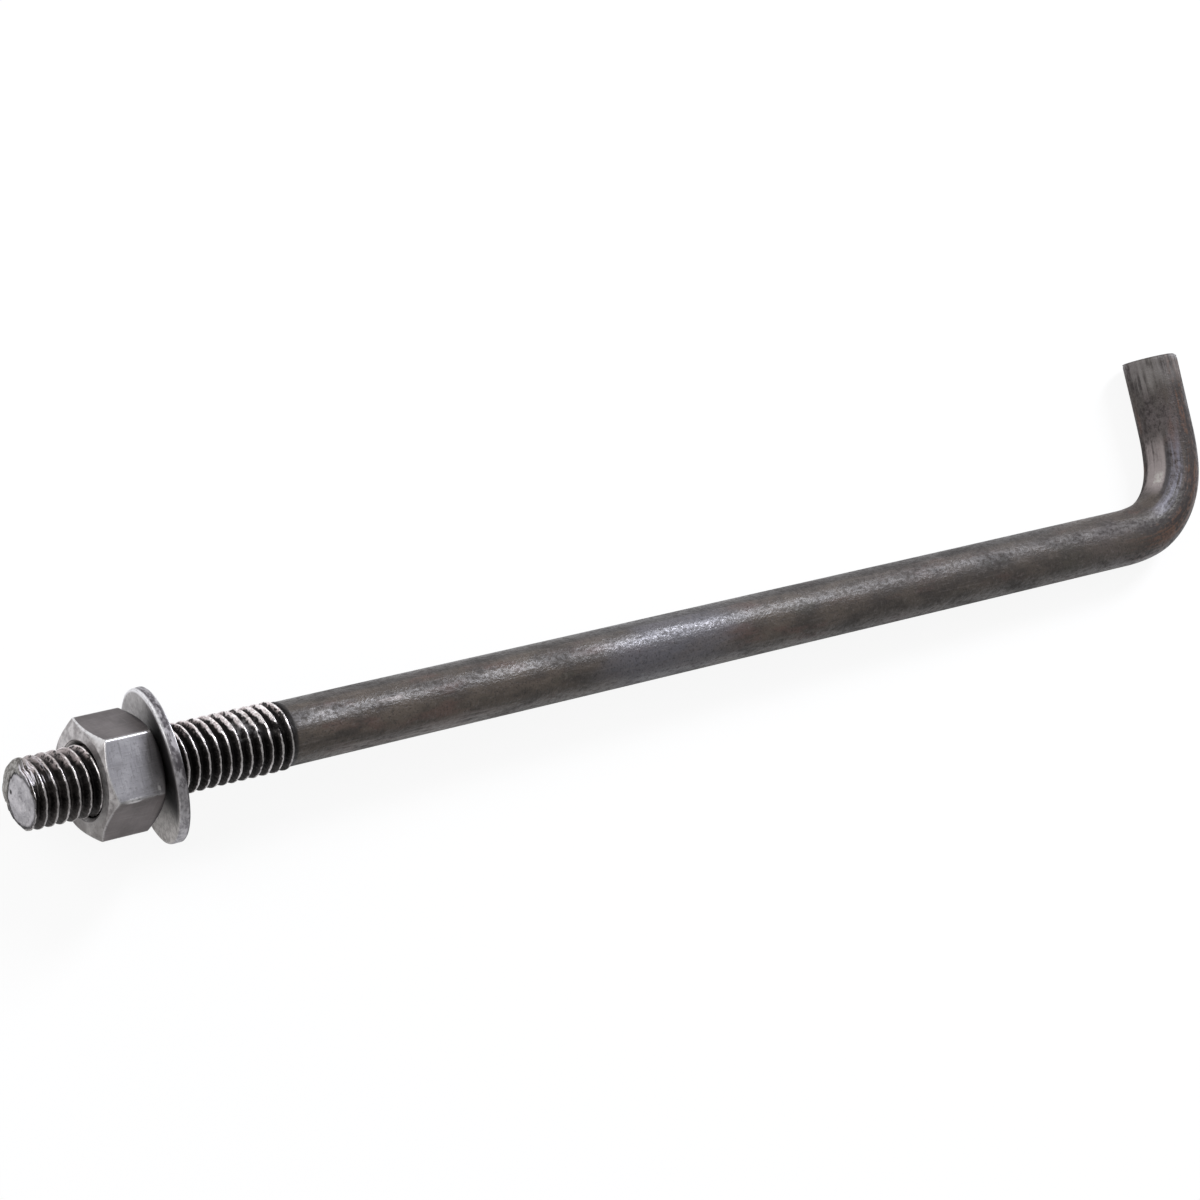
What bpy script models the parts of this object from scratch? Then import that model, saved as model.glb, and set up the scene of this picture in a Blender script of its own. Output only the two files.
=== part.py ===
"""A bent anchor bolt with its hex nut and its flat washer, lying at rest.

The bolt frame has its origin on the shaft's axis at the threaded end. X runs along the shaft to
the hook, Y along the hook's leg and Z out of the plane of the bend. An empty carries that frame
to the way that the bolt lies: on the washer's rim and on the underside of the bend.
"""

import math

import bmesh
import bpy
import numpy as np
from mathutils import Vector

INCH = 0.0254

# Thread, a coarse right-hand one of 16 turns to the inch
PITCH = INCH / 16
THREAD_NOMINAL = INCH * 3 / 8
CREST_ALLOWANCE = 0.00005
THREAD_LENGTH = 0.0392
END_FACE_RADIUS = 0.00365
RUNOUT = 0.0008
CREST_PHASE = math.radians(-16)

# Rod
SHANK_DIAMETER = 0.00878
OVERALL_LENGTH = 0.2166
HOOK_REACH = 0.0316
BEND_ANGLE = math.radians(89)
BEND_RADIUS = 0.0122
EASING_RADIUS = 0.0288
EASING_ANGLE = math.radians(9.9)
TIP_CHAMFER = 0.0004

# Nut
NUT_WIDTH = 0.0142
NUT_HEIGHT = 0.0082
NUT_FACE_SHARE = 0.957
NUT_CHAMFER = math.radians(30)
NUT_DISTANCE = 0.0095
NUT_TURN = math.radians(-0.8)
COUNTERSINK_MARGIN = 0.0004
THREAD_CLEARANCE = 0.0002

# Washer
WASHER_RADIUS = 0.01035
WASHER_THICKNESS = 0.0014
WASHER_LEAN = math.radians(12.5)
WASHER_CLEARANCE = 0.00056
WASHER_ROUNDING = 0.0003
WASHER_BURR = 0.00008

# Rest
SEAT_GAP = 0.0003
HOOK_LIFT = math.radians(2.1)

# Fineness
SIDES = 28
NUT_SIDES = 72
WASHER_SIDES = 72
BEND_STEPS = 18
EASING_STEPS = 3
ROUNDING_STEPS = 3
REST_STEPS = 6

# How far cutters and joined shapes reach past each other
SPARE_TURNS = 2
CUT_MARGIN = 0.0001
CUTTER_OVERSIZE = 1.05
WELD = 1e-6

# A 60 degree thread: flats and flanks as shares of the pitch
CREST_FLAT = 1 / 8
THREAD_DEPTH = 0.6134
FLANK_RUN = THREAD_DEPTH * math.tan(math.radians(30))

crest_radius = THREAD_NOMINAL / 2 - CREST_ALLOWANCE / 2
root_radius = crest_radius - THREAD_DEPTH * PITCH
shank_radius = SHANK_DIAMETER / 2
nut_corner = NUT_WIDTH / 2 / math.cos(math.pi / 6)
nut_face_radius = NUT_FACE_SHARE * NUT_WIDTH / 2
nut_rear = NUT_DISTANCE + NUT_HEIGHT
washer_place = nut_rear + SEAT_GAP + nut_face_radius * math.tan(WASHER_LEAN)
washer_turn = math.pi / WASHER_SIDES - HOOK_LIFT  # one flat of its faceted rim faces the floor


def clear_scene():
    for old in list(bpy.data.objects):
        bpy.data.objects.remove(old, do_unlink=True)


def collection(name, hidden=False):
    made = bpy.data.collections.new(name)
    bpy.context.scene.collection.children.link(made)
    made.hide_render = hidden
    return made


def material(name, colour, roughness, metallic):
    made = bpy.data.materials.new(name)
    made.use_nodes = True
    shader = made.node_tree.nodes["Principled BSDF"]
    shader.inputs["Base Color"].default_value = (*colour, 1)
    shader.inputs["Roughness"].default_value = roughness
    shader.inputs["Metallic"].default_value = metallic
    made.diffuse_color = (*colour, 1)
    return made


def add_object(name, data, home, finish=None):
    made = bpy.data.objects.new(name, data)
    home.objects.link(made)
    if finish:
        data.materials.append(finish)
    return made


def as_cutter(made):
    made.hide_render = True
    made.display_type = "WIRE"
    return made


def boolean(target, operation, other):
    cut = target.modifiers.new(other.name, "BOOLEAN")
    cut.operation = operation
    cut.object = other
    cut.solver = "EXACT"


def realised(source):
    """The mesh of an object as its modifiers or its bevel leave it, with doubled points welded."""
    graph = bpy.context.evaluated_depsgraph_get()
    mesh = bpy.data.meshes.new_from_object(source.evaluated_get(graph))
    shape = bmesh.new()
    shape.from_mesh(mesh)
    bmesh.ops.remove_doubles(shape, verts=shape.verts, dist=WELD)
    shape.to_mesh(mesh)
    shape.free()
    return mesh


def profile_object(name, points, home):
    """An open polyline of (distance along the axis, radius) points, stored with the axis on Z."""
    mesh = bpy.data.meshes.new(name)
    corners = [(radius, 0, along) for along, radius in reversed(points)]
    mesh.from_pydata(corners, [(k, k + 1) for k in range(len(corners) - 1)], [])
    return add_object(name, mesh, home)


def lay_along_shaft(made, turn=0.0):
    """Points the object's own Z along the shaft, then turns it about the shaft."""
    made.rotation_mode = "YXZ"
    made.rotation_euler = (turn, math.pi / 2, 0)


def turned(name, points, home, sides=SIDES):
    """A solid of revolution about the shaft's axis, from (distance along the shaft, radius) points."""
    made = profile_object(name, points, home)
    screw = made.modifiers.new("turn", "SCREW")
    screw.steps = sides
    screw.render_steps = sides
    screw.use_merge_vertices = True
    screw.merge_threshold = WELD
    screw.use_smooth_shade = False
    lay_along_shaft(made)
    return made


def helix(name, first_turn, turns, growth, home):
    """A threaded bar whose surface is grown outwards, with each end closed by a fan to the axis."""
    crest = crest_radius + growth
    root = root_radius + growth
    root_flat = 1 - CREST_FLAT - 2 * FLANK_RUN
    crest_start = root_flat + FLANK_RUN
    shares = (0, root_flat, crest_start, crest_start + CREST_FLAT, 1)
    radii = (root, root, crest, crest, root)
    points = [(PITCH * (first_turn + share), radius) for share, radius in zip(shares, radii)]
    line = profile_object(name + "_line", points, home)
    screw = line.modifiers.new("wind", "SCREW")
    screw.steps = SIDES
    screw.render_steps = SIDES
    screw.iterations = turns
    screw.screw_offset = PITCH
    screw.use_merge_vertices = False
    mesh = realised(line)
    bpy.data.objects.remove(line)
    shape = bmesh.new()
    shape.from_mesh(mesh)
    rims = [edge for edge in shape.edges if edge.is_boundary]
    fan = bmesh.ops.extrude_edge_only(shape, edges=rims)["geom"]
    middle = PITCH * (first_turn + turns / 2)
    for vert in (item for item in fan if isinstance(item, bmesh.types.BMVert)):
        end_turn = first_turn + 0.5 if vert.co.z < middle else first_turn + turns + 0.5
        vert.co = (0, 0, PITCH * end_turn)
    bmesh.ops.remove_doubles(shape, verts=shape.verts, dist=WELD)
    bmesh.ops.recalc_face_normals(shape, faces=shape.faces)
    shape.to_mesh(mesh)
    shape.free()
    mesh.name = name
    made = add_object(name, mesh, home)
    lay_along_shaft(made, CREST_PHASE)
    return made


def bend_points():
    """Points of the bend's centre line with their headings, from the end of the straight shaft at (0, 0)."""
    arcs = (
        (EASING_RADIUS, EASING_ANGLE, EASING_STEPS),
        (BEND_RADIUS, BEND_ANGLE - 2 * EASING_ANGLE, BEND_STEPS),
        (EASING_RADIUS, EASING_ANGLE, EASING_STEPS),
    )
    place = Vector((0, 0))
    heading = 0.0
    found = [(place, heading)]
    for radius, angle, steps in arcs:
        half_step = angle / steps / 2
        chord = 2 * radius * math.sin(half_step)
        for _ in range(steps):
            heading += half_step
            place = place + chord * Vector((math.cos(heading), math.sin(heading)))
            heading += half_step
            found.append((place, heading))
    return found


def bar_curve(home):
    """The plain bar as a bevelled curve: a cone out of the thread's root, the shank, the bend and the leg."""
    bend = bend_points()
    reach = max(place.x + shank_radius * math.sin(heading) for place, heading in bend)
    start = Vector((OVERALL_LENGTH - reach, 0))
    place, heading = bend[-1]
    along = Vector((math.cos(heading), math.sin(heading)))
    leg = (HOOK_REACH - shank_radius - place.y) / along.y
    tip = start + place + leg * along
    route = [(Vector((THREAD_LENGTH - RUNOUT, 0)), root_radius - CUT_MARGIN)]
    route.append((Vector((THREAD_LENGTH, 0)), shank_radius))
    route += [(start + point, shank_radius) for point, _ in bend]
    route.append((tip - TIP_CHAMFER * along, shank_radius))
    route.append((tip, shank_radius - TIP_CHAMFER))
    line = bpy.data.curves.new("bar_line", "CURVE")
    line.dimensions = "3D"
    line.bevel_depth = shank_radius
    line.bevel_resolution = SIDES // 2 - 2
    line.use_fill_caps = True
    spline = line.splines.new("POLY")
    spline.points.add(len(route) - 1)
    for point, (spot, radius) in zip(spline.points, route):
        point.co = (spot.x, spot.y, 0, 1)
        point.radius = radius / shank_radius
    return add_object("bar_line", line, home)


def make_rod(parts, cutters, finish):
    """The threaded bar, cut to a chamfered length of thread and joined to the plain bar."""
    turns = math.ceil(THREAD_LENGTH / PITCH) + 2 * SPARE_TURNS
    rod = helix("anchor_rod", -SPARE_TURNS, turns, 0, parts)
    rod.data.materials.append(finish)
    sleeve_radius = crest_radius / math.cos(math.pi / SIDES) + CUT_MARGIN
    sleeve = turned(
        "thread_sleeve",
        [
            (0, 0),
            (0, END_FACE_RADIUS),
            (sleeve_radius - END_FACE_RADIUS, sleeve_radius),
            (THREAD_LENGTH, sleeve_radius),
            (THREAD_LENGTH + sleeve_radius - root_radius, root_radius),
            (THREAD_LENGTH + sleeve_radius - root_radius, 0),
        ],
        cutters,
    )
    line = bar_curve(cutters)
    bar = add_object("plain_bar", realised(line), cutters)
    bpy.data.objects.remove(line)
    boolean(rod, "INTERSECT", as_cutter(sleeve))
    boolean(rod, "UNION", as_cutter(bar))
    return rod


def make_nut(parts, cutters, finish):
    """A hexagonal blank, chamfered at both faces, tapped with the rod's own thread and countersunk."""
    shape = bmesh.new()
    bmesh.ops.create_cone(
        shape, cap_ends=True, segments=6, radius1=nut_corner, radius2=nut_corner, depth=NUT_HEIGHT
    )
    mesh = bpy.data.meshes.new("hex_nut")
    shape.to_mesh(mesh)
    shape.free()
    nut = add_object("hex_nut", mesh, parts, finish)
    nut.location = (NUT_DISTANCE + NUT_HEIGHT / 2, 0, 0)
    lay_along_shaft(nut, NUT_TURN)
    slope = math.tan(NUT_CHAMFER)
    wide = nut_corner * CUTTER_OVERSIZE
    setback = (wide - nut_face_radius) * slope
    chamfers = turned(
        "nut_chamfers",
        [
            (NUT_DISTANCE, 0),
            (NUT_DISTANCE, nut_face_radius),
            (NUT_DISTANCE + setback, wide),
            (nut_rear - setback, wide),
            (nut_rear, nut_face_radius),
            (nut_rear, 0),
        ],
        cutters,
        NUT_SIDES,
    )
    first_turn = math.floor(NUT_DISTANCE / PITCH) - SPARE_TURNS
    turns = math.ceil(NUT_HEIGHT / PITCH) + 2 * SPARE_TURNS
    tap = helix("nut_tap", first_turn, turns, THREAD_CLEARANCE, cutters)
    mouth = crest_radius + THREAD_CLEARANCE + COUNTERSINK_MARGIN
    inside = root_radius
    depth = mouth - inside
    sinks = []
    for name, face, inward in (("front_sink", NUT_DISTANCE, 1), ("rear_sink", nut_rear, -1)):
        points = [
            (face - inward * depth, 0),
            (face - inward * depth, mouth + depth),
            (face + inward * depth, inside),
            (face + inward * depth, 0),
        ]
        sinks.append(turned(name, sorted(points) if inward > 0 else points[::-1], cutters))
    boolean(nut, "INTERSECT", as_cutter(chamfers))
    boolean(nut, "DIFFERENCE", as_cutter(tap))
    for sink in sinks:
        boolean(nut, "DIFFERENCE", as_cutter(sink))
    return nut


def rounded_corner(along, radius, size, start, stop):
    """Points of a quarter round about a centre, by angle from the shaft's direction."""
    steps = np.linspace(start, stop, ROUNDING_STEPS + 1)
    return [(along + size * math.cos(angle), radius + size * math.sin(angle)) for angle in steps]


def make_washer(parts, finish):
    """A stamped ring: the front edges rolled over by the punch, the rear ones left nearly sharp."""
    bore = crest_radius + WASHER_CLEARANCE
    soft = WASHER_ROUNDING
    sharp = WASHER_BURR
    quarter = math.pi / 2
    ring = rounded_corner(soft, WASHER_RADIUS - soft, soft, math.pi, quarter)
    ring += rounded_corner(WASHER_THICKNESS - sharp, WASHER_RADIUS - sharp, sharp, quarter, 0)
    ring += rounded_corner(WASHER_THICKNESS - soft, bore + soft, soft, 0, -quarter)
    ring += rounded_corner(sharp, bore + sharp, sharp, -quarter, -math.pi)
    mesh = bpy.data.meshes.new("flat_washer")
    corners = [(radius, 0, along) for along, radius in reversed(ring)]
    mesh.from_pydata(corners, [(k, (k + 1) % len(corners)) for k in range(len(corners))], [])
    washer = add_object("flat_washer", mesh, parts, finish)
    screw = washer.modifiers.new("turn", "SCREW")
    screw.steps = WASHER_SIDES
    screw.render_steps = WASHER_SIDES
    screw.use_merge_vertices = True
    screw.merge_threshold = WELD
    washer.location = (washer_place, 0, 0)
    washer.rotation_mode = "ZYX"
    washer.rotation_euler = (0, math.pi / 2 - WASHER_LEAN, washer_turn)
    return washer


def world_points(made):
    graph = bpy.context.evaluated_depsgraph_get()
    mesh = bpy.data.meshes.new_from_object(made.evaluated_get(graph))
    points = np.empty(3 * len(mesh.vertices), np.float32)
    mesh.vertices.foreach_get("co", points)
    bpy.data.meshes.remove(mesh)
    matrix = np.array(made.matrix_world)
    return points.reshape(-1, 3) @ matrix[:3, :3].T + matrix[:3, 3]


def lay_down(frame, rod, washer, everything):
    """Tips the bolt until the washer's rim and the bend's underside stand at one height, and puts the
    middle of its box over the origin."""
    for _ in range(REST_STEPS):
        bpy.context.view_layer.update()
        bar, rim = world_points(rod), world_points(washer)
        hook_low = bar[bar[:, 2].argmin()]
        rim_low = rim[rim[:, 2].argmin()]
        frame.rotation_euler.y += math.atan((hook_low[2] - rim_low[2]) / (hook_low[0] - rim_low[0]))
    bpy.context.view_layer.update()
    points = np.concatenate([world_points(piece) for piece in everything])
    low, high = points.min(axis=0), points.max(axis=0)
    middle = (low + high) / 2
    frame.location = (-middle[0], -middle[1], -low[2])
    bpy.context.view_layer.update()


def main():
    clear_scene()
    parts = collection("anchor_bolt")
    cutters = collection("cutters", hidden=True)
    scale = material("mill_scale", (0.10, 0.088, 0.078), 0.5, 0.6)
    bright = material("machined_steel", (0.30, 0.29, 0.28), 0.4, 0.8)
    stamped = material("stamped_steel", (0.34, 0.33, 0.31), 0.45, 0.8)
    rod = make_rod(parts, cutters, scale)
    nut = make_nut(parts, cutters, bright)
    washer = make_washer(parts, stamped)
    frame = add_object("bolt_frame", None, parts)
    frame.rotation_euler = (HOOK_LIFT, 0, 0)
    for piece in list(parts.objects) + list(cutters.objects):
        if piece is not frame:
            piece.parent = frame
    lay_down(frame, rod, washer, [rod, nut, washer])


main()
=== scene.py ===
"""The looks of a bent anchor bolt that lies on its side, with its hex nut and its flat washer.

Shapes are worked out in the bolt's own frame, which has its origin on the shaft's axis at the
threaded end, X along the shaft, Y along the hook's leg and Z out of the plane of the bend. Angles
about the shaft run from Y towards Z. lay() carries points from there to the frame of the model.
Each piece is a grid of points in rows and columns. A row runs once round the shaft.
"""

import math

import bpy
import numpy as np
from mathutils import Matrix


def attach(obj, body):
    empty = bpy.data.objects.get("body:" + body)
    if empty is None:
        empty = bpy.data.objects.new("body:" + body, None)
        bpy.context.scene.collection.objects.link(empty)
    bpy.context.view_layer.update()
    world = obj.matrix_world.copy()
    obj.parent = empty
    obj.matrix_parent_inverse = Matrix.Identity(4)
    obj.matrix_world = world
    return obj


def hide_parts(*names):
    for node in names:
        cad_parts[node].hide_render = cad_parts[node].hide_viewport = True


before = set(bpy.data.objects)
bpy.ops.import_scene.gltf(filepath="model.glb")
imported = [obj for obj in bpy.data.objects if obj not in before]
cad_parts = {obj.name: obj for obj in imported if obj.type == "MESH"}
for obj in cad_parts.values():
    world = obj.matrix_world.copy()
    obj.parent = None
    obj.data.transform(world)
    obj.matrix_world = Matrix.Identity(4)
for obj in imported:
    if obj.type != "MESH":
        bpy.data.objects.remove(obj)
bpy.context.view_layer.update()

MM = 0.001
FULL_TURN = 2 * math.pi

# Where the bolt lies
ORIGIN = np.array((-0.1083088, -0.0085015, 0.0107095))
SHAFT_TIP = math.radians(1.77751)
HOOK_LIFT = math.radians(2.1)

# Thread. The place of its crest's line, the crest's half width, the depth and the flank's width
# are in pitches, and the two rounds are shares of the depth.
PITCH = 25.4 * MM / 16
CREST_RADIUS = 4.7375 * MM
ROOT_RADIUS = 3.7637 * MM
THREAD_LENGTH = 39.2 * MM
RUNOUT = 0.8 * MM
CREST_PLACE = 0.8777
CREST_HALF = 1 / 16
DEPTH = 0.6134
FLANK = DEPTH * math.tan(math.radians(30))
ROOT_ROUND = 0.16
CREST_ROUND = 0.22

# Dents in two crests: share of the height, place along, its width, angle and its width in degrees
CREST_DENTS = ((1, 36.5 * MM, 0.5 * MM, 80, 7), (0.6, 33.1 * MM, 0.45 * MM, 48, 8))
THREAD_NICK = (33.7 * MM, 0.8 * MM, 4.6 * MM)
THREAD_NICK_REACH = 0.55 * MM

# The cut end, with a lip beside its face and a small pit in it
END_PLACE = 0.35 * MM
END_RADIUS = 3.5 * MM
END_SHIFT = (-0.8 * MM, 0.5 * MM)
LIP_RADIUS = 4.5 * MM
PIT = (0.70 * MM, -1.68 * MM)
PIT_REACH = 0.45 * MM

# Bar. An easing curve and the bend are each given as a radius and an angle.
SHANK_RADIUS = 4.39 * MM
STRAIGHT = 196.8615 * MM
EASING = (28.8 * MM, math.radians(9.9))
BEND = (12.2 * MM, math.radians(89 - 2 * 9.9))
LEG = 12.1283 * MM

# The rod's grid: columns, and the turns of thread that its rows cover, some before the end
ROD_COLUMNS = 112
THREAD_TURNS = 30
TURNS_BEFORE = 5

# Nut
NUT_FRONT = 9.5 * MM
NUT_REAR = 17.7 * MM
NUT_HEIGHT = NUT_REAR - NUT_FRONT
NUT_APOTHEM = 7.1 * MM
NUT_FACE = 6.7947 * MM
NUT_TURN = math.radians(-0.8)
NUT_CHAMFER = math.tan(math.radians(30))
NUT_CORNER = 0.45 * MM
NUT_CLEARANCE = 0.2 * MM
NUT_MOUTH = CREST_RADIUS + NUT_CLEARANCE + 0.4 * MM
NUT_ROUNDS = (0.05 * MM, 0.07 * MM, 0.12 * MM, 0.12 * MM, 0.07 * MM, 0.05 * MM)
NUT_SIDE_ROWS = 7
NUT_HOLE_ROWS = 78

# Wear and painted highlight of the nut's six edges and of its six chamfers, and stain and painted
# shade of its six sides
EDGE_WEAR_AND_GLINT = (0.7, 1.0, 0.3, 0.5, 0.7, 0.5)
CHAMFER_WEAR_AND_GLINT = (1.0, 0.4, 0.25, 0.5, 0.7, 0.5)
SIDE_STAIN_AND_SHADE = (0.95, 0.05, 1.0, 0.5, 0.8, 0.35)

# Nicks in the nut: how each direction is squeezed, the place from the nut's front, and the reach
NUT_NICKS = (
    ((0.35, 1, 1), (2.9 * MM, -3.9 * MM, 7.0 * MM), 0.6 * MM),
    ((1.6, 0.5, 1), (6.7 * MM, -3.2 * MM, 7.1 * MM), 0.45 * MM),
)

# Washer
WASHER_PLACE = 19.4463 * MM
WASHER_LEAN = math.radians(12.5)
WASHER_CANT = math.radians(2)
WASHER_DROP = 0.22 * MM
WASHER_BACK = 0.06 * MM
WASHER_RADIUS = 10.35 * MM
WASHER_BORE = CREST_RADIUS + 0.45 * MM
WASHER_THICK = 1.4 * MM
WASHER_ROUNDS = (0.09 * MM, 0.3 * MM, 0.09 * MM, 0.12 * MM)
WASHER_COLUMNS = 168

FLOOR_REACH = 1.6

tip_cos, tip_sin = math.cos(SHAFT_TIP), math.sin(SHAFT_TIP)
roll_cos, roll_sin = math.cos(HOOK_LIFT), math.sin(HOOK_LIFT)
AXES = np.array(
    (
        (tip_cos, 0, -tip_sin),
        (tip_sin * roll_sin, roll_cos, tip_cos * roll_sin),
        (tip_sin * roll_cos, -roll_sin, tip_cos * roll_cos),
    )
)


def lay(points):
    """Bolt frame to model frame: the sum of each coordinate times its axis, plus the origin."""
    return np.asarray(points) @ AXES + ORIGIN


def ease(low, high, value):
    """0 at low, 1 at high and the smooth cubic 3t^2 - 2t^3 between them. Low may be the greater."""
    share = np.clip((value - low) / (high - low), 0, 1)
    return share * share * (3 - 2 * share)


def ease_angle(low, high, angle):
    """The same for an angle, with both limits in degrees."""
    return ease(math.radians(low), math.radians(high), angle)


def lesser(a, b, round_by):
    """The lesser of two surfaces with a rounded meeting line: their least less a parabola there."""
    gap = np.clip(1 - np.abs(a - b) / round_by, 0, 1)
    return np.minimum(a, b) - gap * gap * round_by / 4


def greater(a, b, round_by):
    """The greater of two surfaces, rounded in the same way."""
    return -lesser(-a, -b, round_by)


def hill(value, middle, width):
    """A bell that is 1 at middle and falls off over width."""
    return np.exp(-(((value - middle) / width) ** 2))


def wrapped(angle):
    """An angle brought to between minus and plus half a turn."""
    return (angle + math.pi) % FULL_TURN - math.pi


def ripple(*terms):
    """A sum of sines, each given as (size, phase array), for slow unevenness that repeats exactly."""
    return sum(size * np.sin(phase) for size, phase in terms)


def unit(vectors):
    """Vectors divided by their own lengths."""
    return vectors / np.linalg.norm(vectors, axis=-1, keepdims=True)


def welded(points, faces):
    """Points that coincide become one. A face with two equal corners becomes a triangle, and one
    with fewer than three corners left is dropped."""
    keys = np.round(points / 1e-8).astype(np.int64)
    _, first, place = np.unique(keys, axis=0, return_index=True, return_inverse=True)
    faces = place.reshape(-1)[faces]
    same = faces == np.roll(faces, -1, axis=1)
    across = (faces[:, 0] == faces[:, 2]) | (faces[:, 1] == faces[:, 3])
    quads = faces[(same.sum(axis=1) == 0) & ~across]
    pinched = (same.sum(axis=1) == 1) & ~across
    corners = faces[pinched][~same[pinched]].reshape(-1, 3)
    return first, quads.tolist() + corners.tolist()


def surface(name, grid, faces, finish, body, node, **attributes):
    """A closed surface from a grid of points and its four-cornered faces. Each attribute is a
    value or a vector for each of the grid's points, which the finish reads by its name."""
    points = grid.reshape(-1, 3)
    first, faces = welded(points, faces)
    mesh = bpy.data.meshes.new(name)
    mesh.from_pydata(lay(points[first]).tolist(), [], faces)
    mesh.shade_smooth()
    for label, values in attributes.items():
        is_vector = values.ndim == 3
        values = np.broadcast_to(values, grid.shape if is_vector else grid.shape[:2])
        values = values.reshape(len(points), -1)[first].astype(np.float32)
        layer = mesh.attributes.new(label, "FLOAT_VECTOR" if is_vector else "FLOAT", "POINT")
        layer.data.foreach_set("vector" if is_vector else "value", values.ravel())
    mesh.materials.append(finish)
    made = bpy.data.objects.new(name, mesh)
    bpy.context.scene.collection.objects.link(made)
    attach(made, body)
    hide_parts(node)
    return made


def ring_faces(rows, columns, shift=0):
    """Faces of a grid whose columns run round a ring. After one turn a row goes on as the row
    that lies shift rows further, so that rows can follow a thread."""
    shape = (rows - 1 - shift, columns)
    row, column = np.indices(shape)
    after = (column + 1) % columns
    step = np.where(column + 1 == columns, shift, 0)
    corners = (
        row * columns + column,
        (row + step) * columns + after,
        (row + step + 1) * columns + after,
        (row + 1) * columns + column,
    )
    return np.stack(corners, axis=-1).reshape(-1, 4)


def outline_of(columns, *corners):
    """An outline for each column, from corners that are each a pair of a place along the axis and
    a distance from it. Either is one number or an array over the columns."""
    values = [np.broadcast_to(value, columns) for pair in corners for value in pair]
    return np.stack(values, axis=-1).reshape(columns, len(corners), 2)


def rounded_profile(corners, radii, steps):
    """A closed outline for each column. Every corner of it is cut by a quadratic curve that starts
    and ends at a distance from the corner along its two sides, with a point just outside each end."""
    before, after = np.roll(corners, 1, axis=1), np.roll(corners, -1, axis=1)
    size = np.asarray(radii)[None, :, None]
    lead, trail = unit(before - corners), unit(after - corners)
    share = np.linspace(0, 1, steps + 1)
    rounds = [corners + size * (lead * (1 - t) ** 2 + trail * t**2) for t in share]
    rounds = [corners + 1.7 * size * lead, *rounds, corners + 1.7 * size * trail]
    return np.stack(rounds, axis=2).reshape(len(corners), -1, corners.shape[-1])


def rows_between(start, stop, count):
    """Rows at even steps between two rows of an outline, without those two."""
    shares = np.linspace(0, 1, count + 2)[1:-1]
    return start + (stop - start) * shares[None, :, None]


def thread_height(along, angle):
    """0 in the root and 1 on the crest of a 60 degree thread: by the distance from the crest's line,
    in pitches, with its corners rounded."""
    turns = along / PITCH - angle / FULL_TURN - CREST_PLACE
    away = np.abs(turns - np.round(turns))
    rise = (CREST_HALF + FLANK - away) / FLANK
    return lesser(greater(rise, np.zeros_like(rise), ROOT_ROUND), np.ones_like(rise), CREST_ROUND)


class Bar:
    """The bar's centre line: its heading grows evenly with length in each arc, and its place is
    the running sum of its heading."""

    lengths = (STRAIGHT, EASING[0] * EASING[1], BEND[0] * BEND[1], EASING[0] * EASING[1], LEG)
    turns = (0, EASING[1], BEND[1], EASING[1], 0)
    knots = np.concatenate(((0,), np.cumsum(lengths)))
    headings = np.concatenate(((0,), np.cumsum(turns)))
    whole = knots[-1]
    bend_middle = knots[2] + BEND[0] * BEND[1] / 2
    fine = np.linspace(0, whole, 9001)
    middle = np.interp((fine[1:] + fine[:-1]) / 2, knots, headings)
    step = fine[1]
    x = np.concatenate(((0,), np.cumsum(np.cos(middle)))) * step
    y = np.concatenate(((0,), np.cumsum(np.sin(middle)))) * step

    @classmethod
    def place(cls, length, angle, radius):
        """The point at a radius and an angle about the centre line, at a length along it. Past
        either end the line goes straight on."""
        inside = np.clip(length, 0, cls.whole)
        beyond = length - inside
        heading = np.interp(inside, cls.knots, cls.headings)
        out = radius * np.cos(angle)
        x = np.interp(inside, cls.fine, cls.x) + beyond * np.cos(heading) - out * np.sin(heading)
        y = np.interp(inside, cls.fine, cls.y) + beyond * np.sin(heading) + out * np.cos(heading)
        return np.stack((x, y, radius * np.sin(angle)), axis=-1)


def rod_rows():
    """Lengths along the bar of the rows, closest in the thread and at the two ends. The thread's
    rows repeat each pitch, so that one of them follows the crest's line all the way."""
    shares = (0, 0.035, 0.07, 0.11, 0.2, 0.3, 0.38, 0.44)
    shares += (0.5, 0.56, 0.62, 0.7, 0.8, 0.89, 0.93, 0.965)
    turns = np.arange(THREAD_TURNS)[:, None]
    threaded = (PITCH * (CREST_PLACE - TURNS_BEFORE + turns + np.array(shares))).ravel()
    threaded = threaded[threaded < THREAD_LENGTH + 0.7 * MM]
    bend_start, bend_stop = STRAIGHT - 4 * MM, Bar.whole - LEG + 2 * MM
    tip_start, tip_stop = Bar.whole - 1.2 * MM, Bar.whole + 0.5 * MM
    spans = (
        (threaded[-1], bend_start, 1.25 * MM),
        (bend_start, bend_stop, 0.5 * MM),
        (bend_stop, tip_start, 0.4 * MM),
        (tip_start, tip_stop, 0.1 * MM),
        (tip_stop, Bar.whole + 12 * MM, 0.3 * MM),
    )
    rows = [threaded]
    for start, stop, step in spans:
        count = int(math.ceil((stop - start) / step))
        rows.append(np.linspace(start, stop, count + 1)[1:])
    return np.concatenate(rows), len(shares)


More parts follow.
